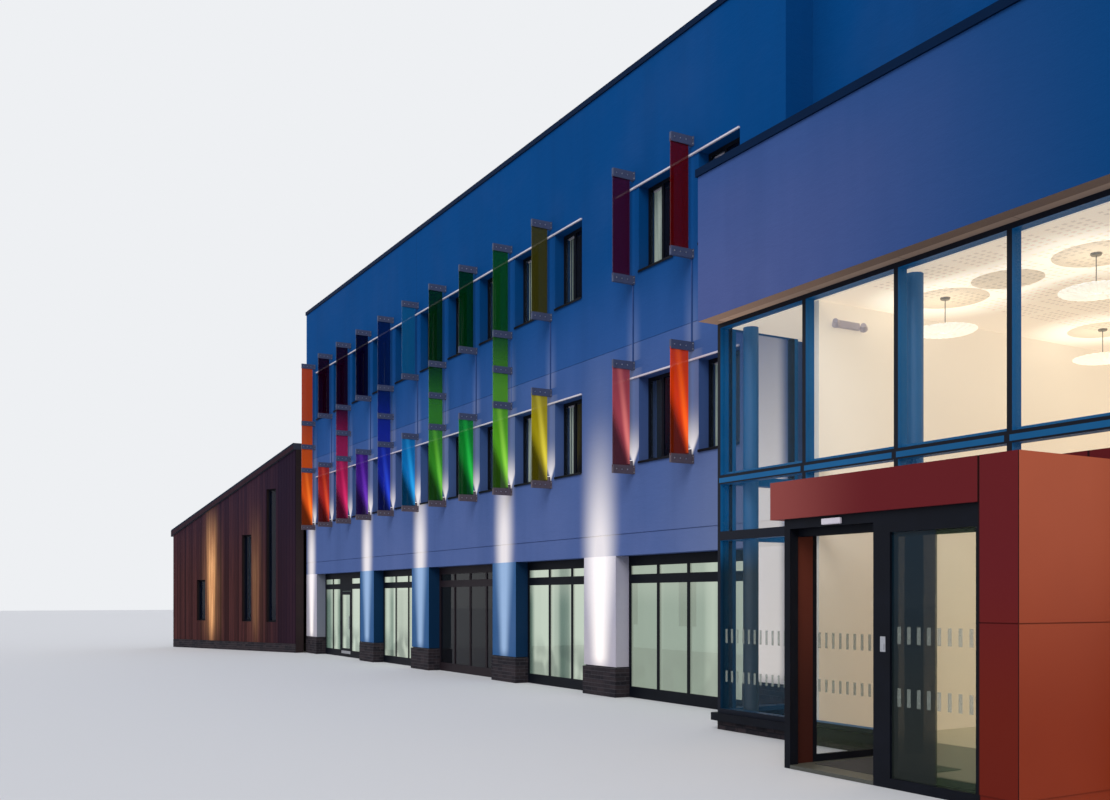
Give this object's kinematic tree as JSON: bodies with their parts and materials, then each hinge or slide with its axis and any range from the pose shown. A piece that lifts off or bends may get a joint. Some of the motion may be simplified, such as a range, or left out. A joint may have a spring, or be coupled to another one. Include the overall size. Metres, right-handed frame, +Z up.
{
  "type": "school building",
  "caption": "Rendered school block with coloured glass fins, a glazed entrance hall under a deep fascia, a red entrance portal and a timber wing.",
  "frame": {"origin": "on the ground under the middle of the building's bounding box", "axes": "+X along the front from the timber wing to the entrance hall, +Y from the front towards the back, +Z up"},
  "size_m": [37.9441, 15.252, 11.75],
  "materials": {
    "white_render": "matt through-coloured render",
    "blue_render": "matt blue render",
    "brick": "dark brick with pale mortar",
    "floor": "trowelled floor screed",
    "roof_membrane": "grey roofing membrane",
    "dark_metal": "dark grey powder-coated sheet",
    "dark_frame": "dark grey powder-coated aluminium",
    "clear_glass": "clear double glazing",
    "white_trim": "white drip trim",
    "grey_steel": "grey painted steel",
    "soffit": "beige soffit board and roof build-up",
    "column_paint": "grey painted steel tube",
    "ceiling": "white painted plasterboard",
    "lamp": "white enamelled disc lamp",
    "red_panel": "red satin cladding panel",
    "timber": "vertical stained boards",
    "orange_glass": "orange laminated glass",
    "red_glass": "red laminated glass",
    "magenta_glass": "magenta laminated glass",
    "violet_glass": "violet laminated glass",
    "blue_glass": "blue laminated glass",
    "cyan_glass": "cyan laminated glass",
    "green_glass": "green laminated glass",
    "emerald_glass": "emerald laminated glass",
    "lime_glass": "lime laminated glass",
    "yellow_glass": "yellow laminated glass",
    "pink_glass": "pink laminated glass",
    "scarlet_glass": "scarlet laminated glass"
  },
  "bodies": {
    "building": {"ground_floor": "floor", "white_piers": "white_render", "blue_piers": "blue_render", "pier_plinths": "brick", "lower_front_wall": "white_render", "upper_front_wall": "white_render", "set_back_wall": "white_render", "end_walls": "white_render", "back_wall": "white_render", "upper_floors": "floor", "roof_deck": "roof_membrane", "copings": "dark_metal", "window_frames": "dark_frame", "window_glass": "clear_glass", "drip_trims": "white_trim", "ground_frames": "dark_frame", "ground_glass": "clear_glass", "fin_brackets": "grey_steel", "fin_uplights": "grey_steel", "fin_glass_1": "orange_glass", "fin_glass_2": "red_glass", "fin_glass_3": "magenta_glass", "fin_glass_4": "violet_glass", "fin_glass_5": "blue_glass", "fin_glass_6": "cyan_glass", "fin_glass_7": "green_glass", "fin_glass_8": "emerald_glass", "fin_glass_9": "lime_glass", "fin_glass_10": "yellow_glass", "fin_glass_11": "pink_glass", "fin_glass_12": "scarlet_glass", "hall_frame": "dark_frame", "hall_glass": "clear_glass", "hall_base": "dark_frame", "hall_fascia": "white_render", "hall_roof": "soffit", "hall_columns": "column_paint", "hall_ceiling": "ceiling", "hall_partition": "ceiling", "pendant_lamps": "lamp", "portal_beam": "red_panel", "portal_side": "red_panel", "entrance_frame": "dark_frame", "entrance_glass": "clear_glass", "wing_walls": "timber", "wing_roof": "dark_metal", "wing_plinth": "brick"},
    "sliding_door": {"sliding_leaf": "dark_frame", "sliding_leaf_glass": "clear_glass"},
    "side_door": {"side_door_frame": "dark_frame", "side_door_glass": "clear_glass"}
  },
  "joints": [
    {"name": "sliding_door_slide", "type": "slide", "parent": "building", "child": "sliding_door", "axis": [-1, 0, 0], "range_m": [0, 1.261]},
    {"name": "side_door_hinge", "type": "hinge", "parent": "building", "child": "side_door", "pos_m": [-9.314, -4.1149, 1], "axis": [0, 0, -1], "range_deg": [0, 90]}
  ]
}
